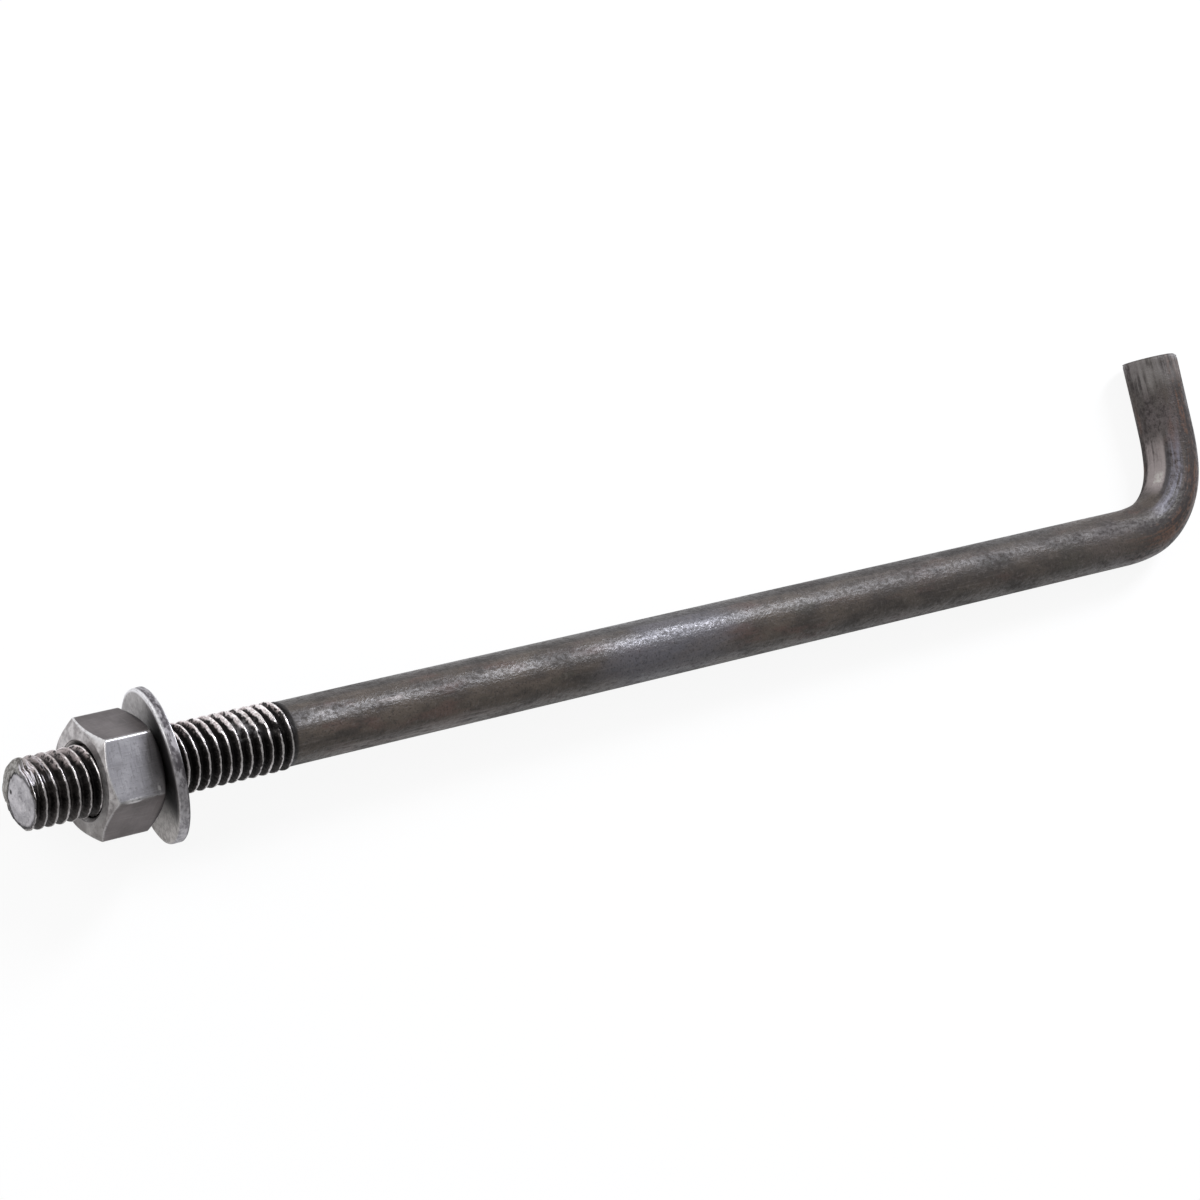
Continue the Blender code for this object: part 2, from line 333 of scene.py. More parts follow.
class CutEnd:
    """The cut face and, on its far side, the lip's sloping ring round it. A row before the bar's
    start stands as far inside the rim as it lies before the start. Its place along the bar is that
    of the face, slopes over the ring to the rim's, and dips at the seam between them."""

    def __init__(self, travel, angle):
        around = wrapped(angle)
        self.edge = edge = self.outline(angle)
        self.lip = lip = ease_angle(-112, -80, around) * (1 - ease_angle(2, 42, around))
        self.first_crest = PITCH * (CREST_PLACE + around / FULL_TURN)
        ragged = MM * ripple((0.03, 11 * angle), (0.02, 17 * angle + 1))
        lip_place = self.first_crest - 0.47 * MM + ragged
        self.rim_place = END_PLACE + lip * (lip_place - END_PLACE)
        self.rim_radius = edge + lip * (LIP_RADIUS - edge)
        self.radius = np.clip(self.rim_radius + travel, 0, None)
        across = (self.radius - edge) / np.maximum(self.rim_radius - edge, 0.01 * MM)
        ring = np.clip(across, 0, 1) * lip
        line = hill(self.radius, edge + (0.22 * lip - 0.12) * MM, 0.16 * MM)
        self.seam = line * (0.7 + 0.3 * lip) * (travel < 0)
        uneven = ripple((0.5, self.radius / MM * 2.1 + around), (0.4, 2 * around))
        self.place = END_PLACE + (self.rim_place - END_PLACE) * ring ** 0.8
        self.place = self.place + 0.13 * MM * self.seam - 0.06 * MM * uneven

    @staticmethod
    def outline(angle):
        """The face's edge, from the axis: a circle off the axis, since the cut goes through the
        thread's ridge on one side and through its groove on the other, with a ragged edge."""
        aside = END_SHIFT[0] * np.cos(angle) + END_SHIFT[1] * np.sin(angle)
        far = np.sqrt(END_RADIUS**2 - END_SHIFT[0] ** 2 - END_SHIFT[1] ** 2 + aside**2)
        ragged = ripple(
            (0.05, 3 * angle + 1), (0.045, 7 * angle), (0.04, 13 * angle + 2), (0.035, 23 * angle)
        )
        return aside + far + ragged * MM


def thread_and_shank(travel, along, angle, end):
    """The radius of the thread and the shank, and how far each point stands on the crest. The
    thread's height over its root is held under a cone at the cut end, filled up to the lip on the
    first ridge's flank, and carried into the shank by a rising root and a falling crest."""
    around = wrapped(angle)
    dent = sum(
        share * hill(along, place, width) * hill(around, math.radians(at), math.radians(spread))
        for share, place, width, at, spread in CREST_DENTS
    )
    astray = MM * ripple(
        (0.020, 6 * angle + along * 300),
        (0.020, 13 * angle - along * 900),
        (0.022, 29 * angle + along * 500),
    )
    height = thread_height(along + astray, angle) * (1 - 0.55 * dent)

    # Fine turned lines beside the cut face, on the upper front
    lines = ease(0.35 * MM, 0.5 * MM, along) * (1 - ease(1.2 * MM, 1.5 * MM, along))
    lines = lines * ease(0.35, 0.75, around) * (1 - ease(1.7, 2.1, around))
    lines = lines * (0.5 + 0.5 * np.cos(along / (0.31 * MM) * FULL_TURN))

    wobble = MM * ripple(
        (0.012, 5 * angle + along * 700), (0.01, 9 * angle - along * 1300), (0.008, 17 * angle)
    )
    threaded = ROOT_RADIUS + (CREST_RADIUS - ROOT_RADIUS) * height + wobble * height
    threaded = threaded + 0.09 * MM * lines
    filled = end.rim_radius - 3 * np.maximum(along - end.first_crest - 0.05 * MM, 0)
    threaded = np.where(end.lip > 0.02, np.maximum(threaded, filled), threaded)
    cone = end.rim_radius + np.maximum(along - end.rim_place, 0) * 1.1
    radius = lesser(threaded, cone, 0.1 * MM)

    rising = ease(THREAD_LENGTH - RUNOUT, THREAD_LENGTH, along)
    falling = ease(THREAD_LENGTH - 0.9 * MM, THREAD_LENGTH + 0.5 * MM, along)
    root = ROOT_RADIUS + (SHANK_RADIUS - ROOT_RADIUS) * rising
    crest = CREST_RADIUS + (SHANK_RADIUS - CREST_RADIUS) * falling
    radius = lesser(greater(radius, root, 0.08 * MM), crest, 0.05 * MM)
    uneven = MM * ripple((0.012, 3 * angle + travel * 40), (0.01, 5 * angle - travel * 90))
    radius = np.where(travel > THREAD_LENGTH + 0.5 * MM, SHANK_RADIUS + uneven, radius)
    return radius, np.clip(np.maximum(height, lines * 1.15), 0, 1)


def die_flats(travel, angle):
    """How deep the bending dies pressed the hook: a bell along the bar times one round it for each
    mark, and shallow flutes on the leg."""
    around = wrapped(angle)
    marks = (
        (0.17, Bar.whole - 16 * MM, 5 * MM, 14, 0.36),
        (0.12, Bar.whole - 14 * MM, 6 * MM, 60, 0.22),
        (0.14, Bar.whole - 1 * MM, 3 * MM, 20, 0.35),
        (0.10, Bar.bend_middle, 7 * MM, 150, 0.5),
    )
    depth = sum(
        deep * hill(travel, place, length) * hill(around, math.radians(at), spread)
        for deep, place, length, at, spread in marks
    )
    flutes = 0.05 * hill(travel, Bar.whole - 9 * MM, 6 * MM) * (1 + np.cos(9 * angle))
    return (depth + flutes) * MM


def make_rod(finish):
    """The bar, thread and both ends as one surface over (length, angle). Before the start the rows
    run inwards over the cut face, and past the tip over the sheared one, so both ends close."""
    rows, lead = rod_rows()
    turn = np.arange(ROD_COLUMNS) / ROD_COLUMNS
    travel = rows[:-lead, None] * (1 - turn) + rows[lead:, None] * turn
    angle = np.broadcast_to(turn * FULL_TURN, travel.shape)
    before, finished = travel < 0, travel > Bar.whole
    end = CutEnd(travel, angle)
    along = travel + end.rim_place * (1 - ease(0, 2.4 * MM, travel))
    along = np.where(before, end.place, along)
    radius, height = thread_and_shank(travel, along, angle, end)
    radius = np.where(before, end.radius, radius - die_flats(travel, angle))
    radius = np.where(finished, np.maximum(radius - (travel - Bar.whole), 0), radius)

    # The sheared tip: its outer edge is rolled over, and all of it is pinched a little
    from_tip = Bar.whole - travel
    length = np.where(before, along, np.minimum(np.where(travel > 3 * MM, travel, along), Bar.whole))
    outward = -radius * np.cos(angle)
    rolled = 0.6 * MM * ease(-0.6 * MM, 4.4 * MM, outward) ** 1.6
    rolled = rolled + 0.1 * MM * (radius / SHANK_RADIUS) ** 2
    length = length - rolled * ease(2.5 * MM, 0, from_tip)
    bevelled = ease(-0.2 * MM, 1.2 * MM, outward) * ease(3.9 * MM, 3.2 * MM, outward)
    bevelled = bevelled * ease(1.5 * MM, 0.3 * MM, from_tip)
    pinch = np.where(finished, 1, 1 - 0.03 * ease(0.5 * MM, 0, from_tip))

    unbent = np.where(before, along - end.rim_radius + end.radius, travel)
    in_thread = (1 - ease(THREAD_LENGTH - 0.3 * MM, THREAD_LENGTH + 0.1 * MM, travel)) * ~before
    on_face = before * (1 - ease(end.edge - 0.02 * MM, end.edge + 0.05 * MM, end.radius))
    on_flank = 1 - ease(end.first_crest - 0.1 * MM, end.first_crest + 0.15 * MM, along)
    faces = ring_faces(len(travel) + lead, ROD_COLUMNS, lead)
    usable = (faces < travel.size).all(axis=1)
    points = Bar.place(length, angle, radius * pinch)
    return surface(
        "rod_bar", points, faces[usable], finish, "rod", "anchor_rod",
        straight=np.stack((unbent, radius * np.cos(angle), radius * np.sin(angle)), axis=-1),
        height=height * in_thread,
        threaded=in_thread,
        cut_end=on_face,
        lip=np.where(before, 1 - on_face, end.lip * on_flank),
        seam=end.seam,
        sheared=np.maximum(ease(Bar.whole - 0.1 * MM, Bar.whole + 0.2 * MM, travel), bevelled),
    )


def nut_side(from_corner):
    """The nut's outside, from its axis, by the angle from the nearest corner: the side's own
    distance over the cosine of the angle from its middle, with the corner cut by an arc."""
    side = NUT_APOTHEM / np.cos(FULL_TURN / 12 - np.abs(from_corner))
    centre = (NUT_APOTHEM - NUT_CORNER) / math.cos(FULL_TURN / 12)
    across = centre * np.sin(from_corner)
    arc = centre * np.cos(from_corner) + np.sqrt(np.maximum(NUT_CORNER**2 - across**2, 0))
    on_arc = np.abs(from_corner) * centre < NUT_CORNER * 0.5
    return np.where(on_arc, np.minimum(side, arc), side)


def nut_hole(angle):
    """The tapped hole from rear to front, as pairs of place and radius: the rod's own thread moved
    out by the clearance, under a 45 degree sink at each mouth."""
    depths = np.linspace(NUT_REAR - 0.12 * MM, NUT_FRONT + 0.12 * MM, NUT_HOLE_ROWS)
    turned, deep = np.meshgrid(angle, depths, indexing="ij")
    tapped = ROOT_RADIUS + NUT_CLEARANCE + (CREST_RADIUS - ROOT_RADIUS) * thread_height(deep, turned)
    sink = NUT_MOUTH - np.minimum(deep - NUT_FRONT, NUT_REAR - deep)
    return np.stack((deep, greater(tapped, sink, 0.06 * MM)), axis=-1)


def make_nut(finish):
    """A hexagonal blank over (outline, angle): hole edge, face, chamfer, side, and the same again
    at the rear, closed by the tapped hole. The chamfer meets each side where a cone of 30 degrees
    through the face's rim reaches the side's own distance."""
    near = np.radians((0, 0.35, 0.7, 1.05, 1.4, 2.1, 3.6, 5.5, 8, 11, 14.5, 18, 22, 26, 30))
    fan = np.concatenate((-near[:0:-1], near))
    sixth = FULL_TURN / 6
    angle = np.concatenate([fan + k * sixth for k in range(6)]) % FULL_TURN
    angle = np.unique(np.round(angle, 9))
    from_corner = (angle + sixth / 2) % sixth - sixth / 2
    side = nut_side(from_corner)
    rise = (side - NUT_FACE) * NUT_CHAMFER
    outline = outline_of(
        len(angle),
        (NUT_FRONT, NUT_MOUTH), (NUT_FRONT, NUT_FACE), (NUT_FRONT + rise, side),
        (NUT_REAR - rise, side), (NUT_REAR, NUT_FACE), (NUT_REAR, NUT_MOUTH),
    )
    outline = rounded_profile(outline, NUT_ROUNDS, 3)
    per_corner = outline.shape[1] // 6
    front, half = 2 * per_corner, 3 * per_corner
    rear = half + NUT_SIDE_ROWS
    wall = rows_between(outline[:, half - 1 : half], outline[:, half : half + 1], NUT_SIDE_ROWS)
    turned = angle + NUT_TURN
    parts = (outline[:, :half], wall, outline[:, half:], nut_hole(turned))
    along, radius = np.concatenate(parts, axis=1).transpose(2, 1, 0)
    points = np.stack((along, radius * np.cos(turned), radius * np.sin(turned)), axis=-1)
    rows, columns = along.shape

    # Which rows lie on the sides, on the rounds between chamfer and side, and in the hole
    row = np.arange(rows)[:, None]
    on_side = (row >= front + per_corner // 2) & (row < rear + per_corner // 2)
    on_round = (row > front) & (row < front + per_corner - 1)
    on_round = on_round | ((row > rear) & (row < rear + per_corner - 1))
    outer = row < rows - NUT_HOLE_ROWS
    inside = ~outer * ease(0.25 * MM, 0.7 * MM, np.minimum(along - NUT_FRONT, NUT_REAR - along))

    # Wear and painted highlight, by edge, and stain and painted shade, by side
    which = np.floor(angle / sixth).astype(int)
    nearest = np.round(angle / sixth).astype(int) % 6
    edge_wear_and_glint = hill(np.abs(from_corner) * NUT_APOTHEM, 0, 0.16 * MM) * np.take(EDGE_WEAR_AND_GLINT, nearest)
    chamfer_wear_and_glint = np.take(CHAMFER_WEAR_AND_GLINT, which) * np.where(along < NUT_FRONT + NUT_HEIGHT / 2, 1, 0.4)
    # The upper part of the front chamfer's round is a painted highlight
    front_chamfer_glint = (row == front) * ease_angle(12, 45, angle) * (angle < math.radians(61))
    mouth = outer * hill(radius, NUT_MOUTH, 0.12 * MM)
    mouth = mouth * (0.15 + 0.5 * hill(wrapped(angle - 2.3), 0, 0.7))
    wear_and_glint = on_side * edge_wear_and_glint + on_round * chamfer_wear_and_glint + front_chamfer_glint + mouth
    stained = np.take(SIDE_STAIN_AND_SHADE, which)
    # Darker towards the rear, next to the washer: painted shade
    stained = stained + (1 - stained) * 0.55 * ease(NUT_FRONT + 4.5 * MM, NUT_REAR, along)
    faces = ring_faces(rows + 1, columns) % (rows * columns)
    return surface(
        "nut_body", points, faces, finish, "nut", "hex_nut",
        local=points - (NUT_FRONT, 0, 0),
        flats=on_side,
        tapped=inside,
        edge=np.clip(wear_and_glint, 0, 1),
        stain=stained,
    )


def make_washer(finish):
    """A stamped ring over (outline, angle), with rolled front edges, nearly sharp rear ones and
    faces that wave by a few hundredths. It leans back from the nut by a turn about Y, is canted a
    little by a turn about Z, and rests on the thread within the hole's clearance."""
    angle = np.arange(WASHER_COLUMNS) / WASHER_COLUMNS * FULL_TURN
    wave = ripple((0.02, 2 * angle + 0.5), (0.012, 3 * angle + 2), (0.006, 7 * angle)) * MM
    uneven = ripple((0.02, 3 * angle), (0.012, 8 * angle + 1), (0.008, 17 * angle)) * MM
    rim = WASHER_RADIUS + uneven - 0.03 * MM
    outline = outline_of(
        WASHER_COLUMNS,
        (wave, WASHER_BORE), (wave, rim),
        (WASHER_THICK, rim + 0.02 * MM), (WASHER_THICK, WASHER_BORE),
    )
    corners = np.split(rounded_profile(outline, WASHER_ROUNDS, 4), 4, axis=1)
    bands = []
    for corner, following, count in zip(corners, corners[1:] + corners[:1], (6, 3, 6, 3)):
        bands += [corner, rows_between(corner[:, -1:], following[:, :1], count)]
    thick, radius = np.concatenate(bands, axis=1).transpose(2, 1, 0)
    across, up = radius * np.cos(angle), radius * np.sin(angle)
    lean_cos, lean_sin = math.cos(WASHER_LEAN), math.sin(WASHER_LEAN)
    cant_cos, cant_sin = math.cos(WASHER_CANT), math.sin(WASHER_CANT)
    along = thick * lean_cos - up * lean_sin
    points = np.stack(
        (
            WASHER_PLACE + along * cant_cos - across * cant_sin,
            along * cant_sin + across * cant_cos - WASHER_DROP,
            thick * lean_sin + up * lean_cos - WASHER_BACK,
        ),
        axis=-1,
    )
    rows, columns = thick.shape

    # Where it is worn bright or sooty and where highlight, shade and light are painted, by the angle
    # from its highest part in the picture
    turned = wrapped(angle)
    from_top = np.abs(turned)
    on_rim = ease(WASHER_RADIUS - 0.22 * MM, WASHER_RADIUS - 0.08 * MM, radius)
    in_bore = 1 - ease(WASHER_BORE + 0.02 * MM, WASHER_BORE + 0.1 * MM, radius)
    # The front edge: worn, and a painted highlight on its upper part
    front_edge_glint = hill(radius - thick, WASHER_RADIUS - 0.26 * MM, 0.13 * MM)
    front_edge_glint = front_edge_glint * (thick < 0.35 * MM) * (radius > WASHER_RADIUS - 0.45 * MM)
    front_edge_glint = front_edge_glint * (1 - 0.9 * ease_angle(58, 84, from_top))
    # The rim's rear edge: a painted highlight above and a dark line below
    rear_edge = hill(thick, WASHER_THICK, 0.14 * MM) * on_rim
    lower_half = ease_angle(75, 100, from_top)
    # A painted shadow of the nut on the face beside it, with soot
    nut_shadow_and_soot = ease_angle(25, 60, turned) * (1 - ease_angle(128, 160, turned))
    nut_shadow_and_soot = nut_shadow_and_soot * (thick < 0.5 * WASHER_THICK) * (1 - ease(9.5 * MM, 10.3 * MM, radius))
    faces = ring_faces(rows + 1, columns) % (rows * columns)
    return surface(
        "washer_ring", points, faces, finish, "washer", "flat_washer",
        local=np.stack((thick, across, up), axis=-1),
        rim=on_rim,
        edge=np.clip(front_edge_glint + rear_edge * (1 - lower_half) * 0.6, 0, 1),
        bore=in_bore,
        soot=nut_shadow_and_soot + rear_edge * lower_half * 0.8,
        # Where the rim takes painted light
        lower=ease_angle(95, 125, from_top),
    )


class Value:
    """A number or a colour on its way through a material's nodes. Arithmetic on it adds the nodes."""

    def __init__(self, finish, socket):
        self.finish = finish
        self.socket = socket

    def math(self, operation, *others):
        """One Math node, with this value first."""
        return self.finish.node("ShaderNodeMath", {"operation": operation}, self, *others)

    def __add__(self, other):
        return self.math("ADD", other)

    def __sub__(self, other):
        return self.math("SUBTRACT", other)

    def __mul__(self, other):
        return self.math("MULTIPLY", other)

    def __truediv__(self, other):
        return self.math("DIVIDE", other)

    def __rsub__(self, other):
        return self.finish.node("ShaderNodeMath", {"operation": "SUBTRACT"}, other, self)

    __radd__ = __add__
    __rmul__ = __mul__

    def arctan2(self, other):
        """The angle, in radians, whose sine goes with this value and whose cosine with the other."""
        return self.math("ARCTAN2", other)

    def between(self, low, high):
        """0 at low and 1 at high, with a smooth course between them."""
        settings = {"interpolation_type": "SMOOTHSTEP"}
        limits = {"From Min": low, "From Max": high}
        return self.finish.node("ShaderNodeMapRange", settings, self, named=limits)

    def band(self, low, high, soft):
        """1 between low and high, falling to 0 over a soft width outside them."""
        return self.between(low - soft, low) * (1 - self.between(high, high + soft))

    def held(self, low=0.0, high=1.0):
        """The value, kept from passing either limit."""
        return self.finish.node("ShaderNodeClamp", {}, self, low, high)


class Finish:
    """A material. node() adds any node: its settings first, then its sockets by place or by name."""

    def __init__(self, name):
        self.material = bpy.data.materials.new(name)
        self.material.use_nodes = True
        self.tree = self.material.node_tree
        self.tree.nodes.clear()
        self.output = self.tree.nodes.new("ShaderNodeOutputMaterial")

    def node(self, kind, settings, *values, named=None, out=0):
        """The node's output of that place or name, or the node itself where out is None."""
        made = self.tree.nodes.new(kind)
        for key, value in settings.items():
            setattr(made, key, value)
        for key, value in [*enumerate(values), *(named or {}).items()]:
            if isinstance(value, Value):
                self.tree.links.new(value.socket, made.inputs[key])
            else:
                made.inputs[key].default_value = value
        return made if out is None else Value(self, made.outputs[out])

    def attribute(self, name, out="Fac"):
        """A point value of the piece that wears the finish, or a vector with out as Vector."""
        return self.node("ShaderNodeAttribute", {"attribute_name": name}, out=out)

    def stretched(self, vector, stretch, shift=(0, 0, 0)):
        """Coordinates in metres as pattern units: each direction times its own factor."""
        return self.node("ShaderNodeMapping", {}, vector, named={"Location": shift, "Scale": stretch})

    def noise(self, vector, stretch, shift=(0, 0, 0), detail=3.0, roughness=0.55):
        """Cloudy noise about 0.5, with one cloud or so to each unit of the stretched coordinates."""
        vector = self.stretched(vector, stretch, shift)
        sockets = {"Vector": vector, "Scale": 1.0, "Detail": detail, "Roughness": roughness}
        return self.node("ShaderNodeTexNoise", {"noise_dimensions": "3D"}, named=sockets)

    def parts(self, vector):
        """The three numbers of a vector."""
        split = self.node("ShaderNodeSeparateXYZ", {}, vector, out=None)
        return [Value(self, socket) for socket in split.outputs]

    def near(self, vector, place, reach):
        """1 at a place and 0 at a distance from it."""
        settings = {"operation": "DISTANCE"}
        apart = self.node("ShaderNodeVectorMath", settings, vector, place, out="Value")
        return 1 - apart.between(reach * 0.4, reach)

    def mix(self, share, a, b):
        """From colour a to colour b."""
        a, b = (value if isinstance(value, Value) else (*value, 1) for value in (a, b))
        return self.node("ShaderNodeMix", {"data_type": "RGBA"}, named={0: share, 6: a, 7: b}, out=2)

    def bump(self, height, strength, distance):
        """The normal of a surface that is raised by height times distance."""
        sockets = {"Strength": strength, "Distance": distance, "Height": height}
        return self.node("ShaderNodeBump", {}, named=sockets)

    def shader(self, **sockets):
        """Finishes the material with one shader. Names have underscores for spaces."""
        named = {key.replace("_", " "): value for key, value in sockets.items()}
        made = self.node("ShaderNodeBsdfPrincipled", {}, named=named)
        return self.wear(made)

    def wear(self, shader):
        """Puts a shader on the surface and gives the finished material."""
        self.tree.links.new(shader.socket, self.output.inputs["Surface"])
        return self.material


class RodPatterns:
    """What the rod's finish is drawn from: the point values, the place along the unbent bar, the
    turn about it, the noises, and the zones where the scale differs, some of which hold painted
    light and shade. The turn is counted in half turns, with 0 on the hook's side and 0.5 facing up."""

    def __init__(self, f):
        straight = f.attribute("straight", "Vector")
        along, side, front = f.parts(straight)
        turned = front.arctan2(side) / math.pi
        self.straight, self.along, self.turned = straight, along, turned
        for name in ("height", "threaded", "cut_end", "lip", "seam", "sheared"):
            setattr(self, name, f.attribute(name))
        self.blotch = f.noise(straight, (150, 330, 330), detail=4.0)
        self.cloud = f.noise(straight, (55, 170, 170), (3, 0, 0))
        self.tint = f.noise(straight, (90, 260, 260), (9, 4, 0), 4.0, 0.6)
        self.fleck = f.noise(straight, (1300, 1700, 1700), roughness=0.6)
        self.grain = f.noise(straight, (3600, 3600, 3600), detail=2.0, roughness=0.6)
        self.streak = f.noise(straight, (110, 2300, 2300))
        self.chatter = f.noise(straight, (1900, 420, 420), detail=2.0)
        self.hatch = f.noise(straight, (4000, 700, 700), (2, 7, 0), 2.0)
        self.fine = f.noise(straight, (5200, 260, 260), detail=2.0)

        self.near_thread = 1 - along.between(0.0455, 0.0530)
        self.middle = along.between(0.084, 0.096) * (1 - along.between(0.108, 0.122))
        # Towards the hook the scale is painted darker as shade where the light falls off, and is
        # rougher
        self.far = along.between(0.115, 0.150)
        self.bent = along.between(0.180, 0.204)
        self.on_hook = along.between(0.176, 0.190)

        # Where the scale is rubbed: along the upper front, most of all in three places. The band is
        # where the key lamp's highlight falls, and the light flakes in it are partly a painted
        # highlight
        near_bend = along.between(0.157, 0.165) * (1 - along.between(0.168, 0.180))
        rubbed = self.middle * 0.85 + near_bend * 0.35 + self.near_thread * 0.55
        rubbed = rubbed + self.cloud.between(0.45, 0.65) * 0.25
        self.highlight_band = turned.band(0.345, 0.425, 0.07)
        self.rubbed = self.highlight_band * rubbed.held()
        flakes_and_highlight = self.fleck * 0.20 + self.hatch * 0.25 + self.grain * 0.55 + self.rubbed * 0.10
        self.flakes_and_highlight = flakes_and_highlight.between(0.52, 0.68) * self.rubbed


def shank_scale(f, p):
    """Brown-grey mill scale with reddish, olive and bluish blotches, dark and light flecks, light
    bare flakes in the band of the highlight, which are partly a painted highlight, and painted
    shade along the upper edge, on the underside and towards the hook."""
    scale = f.mix(p.blotch.between(0.32, 0.66), (0.030, 0.0245, 0.0205), (0.076, 0.061, 0.049))
    scale = f.mix(p.tint.between(0.54, 0.70) * 0.65, scale, (0.080, 0.048, 0.040))
    scale = f.mix((1 - p.tint.between(0.30, 0.44)) * 0.5, scale, (0.056, 0.053, 0.039))
    scale = f.mix(p.middle * p.cloud.between(0.33, 0.58) * 0.75, scale, (0.086, 0.084, 0.096))
    # Painted shade towards the hook
    scale = f.mix(p.far * 0.35, scale, (0.022, 0.018, 0.016))
    scale = f.mix(p.bent * p.cloud.between(0.40, 0.60) * 0.7, scale, (0.092, 0.074, 0.074))
    worn_off = 1 - (p.blotch * 0.6 + p.fleck * 0.4).between(0.38, 0.48)
    scale = f.mix(p.bent * worn_off * 0.7, scale, (0.022, 0.016, 0.015))
    scale = f.mix(p.bent * p.tint.between(0.56, 0.68) * 0.5, scale, (0.105, 0.060, 0.045))
    scale = f.mix(p.fleck.between(0.54, 0.70) * 0.28, scale, (0.13, 0.114, 0.106))
    scale = f.mix((1 - p.fleck.between(0.30, 0.44)) * 0.5, scale, (0.022, 0.018, 0.017))
    scale = f.mix((1 - p.grain.between(0.32, 0.46)) * 0.6, scale, (0.018, 0.015, 0.014))
    scale = f.mix(p.streak.between(0.58, 0.72) * 0.25, scale, (0.13, 0.115, 0.106))
    # Light flakes in the highlight band: partly bare metal, partly a painted highlight
    scale = f.mix(p.flakes_and_highlight * 0.22, scale, (0.30, 0.30, 0.33))

    scrape = p.along.band(0.0530, 0.0560, 0.0010) * p.turned.band(0.385, 0.415, 0.02)
    scrape = scrape * (p.streak * 0.6 + p.blotch * 0.4).between(0.36, 0.54)
    scale = f.mix(scrape * 0.6, scale, (0.34, 0.30, 0.29))
    # Painted shade along the upper edge
    upper_edge_shade = p.turned.band(-0.28, 0.19, 0.06) * (1 - p.on_hook)
    scale = f.mix(upper_edge_shade * 0.75, scale, (0.020, 0.017, 0.0155))
    # Painted shade on the underside
    underside_shade = p.turned.between(0.84, 0.95) + (0 - p.turned).between(0.70, 0.90)
    scale = f.mix(underside_shade.held() * (1 - p.on_hook) * 0.5, scale, (0.022, 0.018, 0.017))
    lower = p.along.between(0.044, 0.048) * (1 - p.along.between(0.066, 0.082))
    lower = lower * p.turned.band(0.76, 0.93, 0.05) * p.streak.between(0.42, 0.6)
    return f.mix(lower * 0.7, scale, (0.16, 0.135, 0.125))


def hook_scale(f, p, scale):
    """The marks of bending over the scale: a pinkish pressed flat with a pale spot that is partly a
    painted highlight, a painted shade stripe and a painted bluish highlight stripe beside it
    along the leg's facets, rust on the outside, and pale rubs at the tip."""
    on_leg = p.along.between(0.2060, 0.2115)
    under_tip = 1 - p.along.between(0.2175, 0.2225)
    pressed = on_leg * under_tip * p.turned.band(-0.05, 0.172, 0.045)
    press_marks = (p.streak * 0.5 + p.blotch * 0.5).between(0.26, 0.50)
    scale = f.mix(pressed * press_marks, scale, (0.245, 0.212, 0.205))
    # A pale die mark that is partly a painted highlight
    spot = p.along.band(0.2108, 0.2128, 0.0012) * p.turned.band(0.07, 0.15, 0.03)
    scale = f.mix(spot * p.fleck.between(0.35, 0.60) * 0.8, scale, (0.36, 0.345, 0.315))
    # A painted shade stripe on the leg's facets
    shade_stripe = on_leg * under_tip * p.turned.band(0.205, 0.245, 0.022)
    scale = f.mix(shade_stripe * 0.75, scale, (0.026, 0.023, 0.026))
    # A painted bluish highlight stripe on the leg's facets, running into the bend
    highlight_stripe = p.along.between(0.2000, 0.2065) * (1 - p.along.between(0.2165, 0.2225))
    highlight_stripe = highlight_stripe * p.turned.band(0.27, 0.37, 0.04)
    highlight_stripe = highlight_stripe * (p.streak * 0.7 + p.fleck * 0.3).between(0.36, 0.60)
    scale = f.mix(highlight_stripe * 0.75, scale, (0.150, 0.146, 0.176))

    outside = p.along.between(0.190, 0.206) * p.turned.band(0.47, 0.80, 0.07)
    scale = f.mix(outside * 0.72, scale, (0.023, 0.018, 0.016))
    rust = (p.streak * 0.35 + p.tint * 0.35 + p.fleck * 0.3).between(0.48, 0.58)
    scale = f.mix(outside * rust * 0.7, scale, (0.100, 0.050, 0.030))
    dark_flecks = 1 - (p.streak * 0.5 + p.fleck * 0.5).between(0.38, 0.50)
    scale = f.mix(on_leg * (1 - pressed * 0.85) * dark_flecks * 0.65, scale, (0.022, 0.016, 0.015))

    near_tip = p.along.between(0.2265, 0.2300) * p.turned.band(-0.02, 0.20, 0.06)
    near_tip = near_tip * (p.streak * 0.5 + p.blotch * 0.5).between(0.42, 0.60)
    scale = f.mix(near_tip * 0.75, scale, (0.16, 0.145, 0.138))
    pale_tip = p.along.between(0.2275, 0.2315) * p.turned.band(0.05, 0.62, 0.1)
    pale_tip = pale_tip * (p.streak * 0.4 + p.blotch * 0.6).between(0.36, 0.58)
    return f.mix(pale_tip * 0.75, scale, (0.160, 0.147, 0.140))


